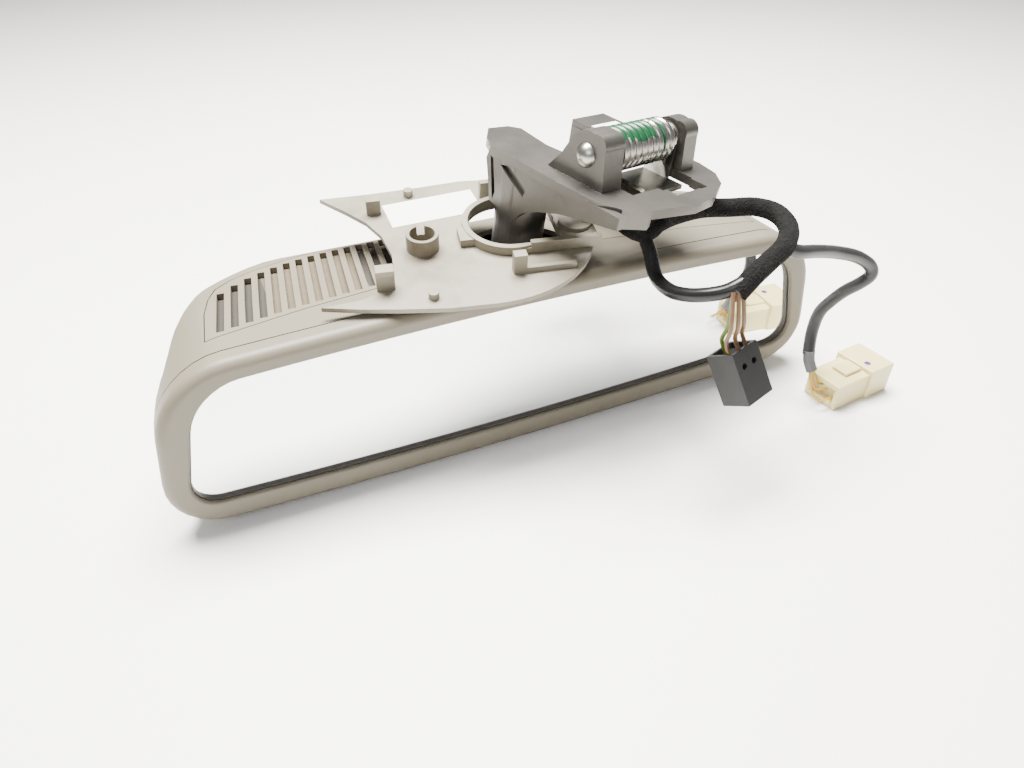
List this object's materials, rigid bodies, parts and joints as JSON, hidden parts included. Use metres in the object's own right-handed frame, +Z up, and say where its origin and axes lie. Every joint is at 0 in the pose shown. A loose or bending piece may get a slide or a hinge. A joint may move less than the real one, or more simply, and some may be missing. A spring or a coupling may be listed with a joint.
{
  "type": "interior rear-view mirror",
  "caption": "Car interior mirror: wide framed mirror head with slotted top panel on a ball joint, cast arm with sprung roof foot, loose foot cover and wiring harness.",
  "frame": {"origin": "centre of the box round the mirror, taken without its harness, on the surface it stands on", "axes": "+X along the mirror to the viewer's right as the glass is seen, +Y away from the glass towards the housing's back, +Z up"},
  "size_m": [0.2706, 0.1292, 0.1122],
  "materials": {
    "grey_plastic": "fine satin texture",
    "mirror_glass": "polished",
    "backing_glass": "polished",
    "black_rubber": "matt",
    "foam": "open cell foam",
    "black_plastic": "moulded",
    "felt": "felt",
    "board": "solder resist",
    "aluminium": "drawn",
    "cream_plastic": "translucent",
    "bracket_steel": "plated",
    "screw_steel": "plated",
    "seat_plastic": "moulded",
    "zinc_casting": "satin die casting",
    "bright_steel": "zinc plated",
    "lever_steel": "pressed",
    "label": "blank paper label",
    "cover_plastic": "fine satin texture",
    "fleece": "fleece tape",
    "cable_sheath": "smooth",
    "sleeve_plastic": "smooth",
    "wire_brown": "smooth",
    "wire_yellow": "smooth",
    "terminal_brass": "stamped"
  },
  "bodies": {
    "head": {"rear_housing": "grey_plastic", "bezel_frame": "grey_plastic", "mirror_glass": "mirror_glass", "backing_glass": "backing_glass", "glass_seal": "black_rubber", "foam_pad": "foam", "glass_carrier": "black_plastic", "grille_panel": "grey_plastic", "blank_panel": "grey_plastic", "grille_felt": "felt", "circuit_board": "board", "microphones": "aluminium", "board_header": "cream_plastic", "socket_bracket": "bracket_steel", "socket_clamp": "bracket_steel", "clamp_screws": "screw_steel", "bracket_screws": "screw_steel"},
    "seat_cup": {"ball_seat_cup": "seat_plastic"},
    "seat_ring": {"ball_seat_ring": "seat_plastic"},
    "arm": {"mirror_arm": "zinc_casting", "rivet_pin": "bright_steel", "torsion_spring": "bright_steel", "foot_sticker": "label", "wire_loom": "fleece", "upper_cable": "cable_sheath", "lower_cable": "cable_sheath", "cable_sleeve": "sleeve_plastic", "feed_wires": "wire_brown", "signal_wires": "wire_yellow", "black_connector": "black_plastic", "black_terminals": "terminal_brass", "white_connector": "cream_plastic", "white_lock": "cream_plastic", "white_terminals": "terminal_brass", "head_lead": "cable_sheath"},
    "latch": {"latch_lever": "lever_steel"},
    "cover": {"foot_cover": "cover_plastic", "cover_label": "label"},
    "collar": {"collar_slider": "cover_plastic"}
  },
  "joints": [
    {"name": "yaw", "type": "hinge", "parent": "head", "child": "seat_cup", "pos_m": [0.0051, 0.00709, 0.0383], "axis": [0, 0, 1], "range_deg": [-37, 5]},
    {"name": "tilt", "type": "hinge", "parent": "seat_cup", "child": "seat_ring", "pos_m": [0.0051, 0.00709, 0.0383], "axis": [1, 0, 0], "range_deg": [-12, 0.5]},
    {"name": "roll", "type": "hinge", "parent": "seat_ring", "child": "arm", "pos_m": [0.0051, 0.00709, 0.0383], "axis": [0, 1, 0], "range_deg": [-0.5, 3]},
    {"name": "latch", "type": "hinge", "parent": "arm", "child": "latch", "pos_m": [0.05431, -0.01263, 0.10195], "axis": [0.9536, 0.2915, -0.075], "range_deg": [0, 8], "stiffness_Nm_per_rad": 1.2, "springref_deg": -17.19, "deforming": ["torsion_spring"]},
    {"name": "cover_slide", "type": "slide", "parent": "arm", "child": "cover", "axis": [0.0994, -0.0698, 0.9926], "range_m": [0, 0.0028]},
    {"name": "collar_slide", "type": "slide", "parent": "cover", "child": "collar", "axis": [0.9816, -0.1908, 0], "range_m": [-0.0005, 0.0005]}
  ]
}
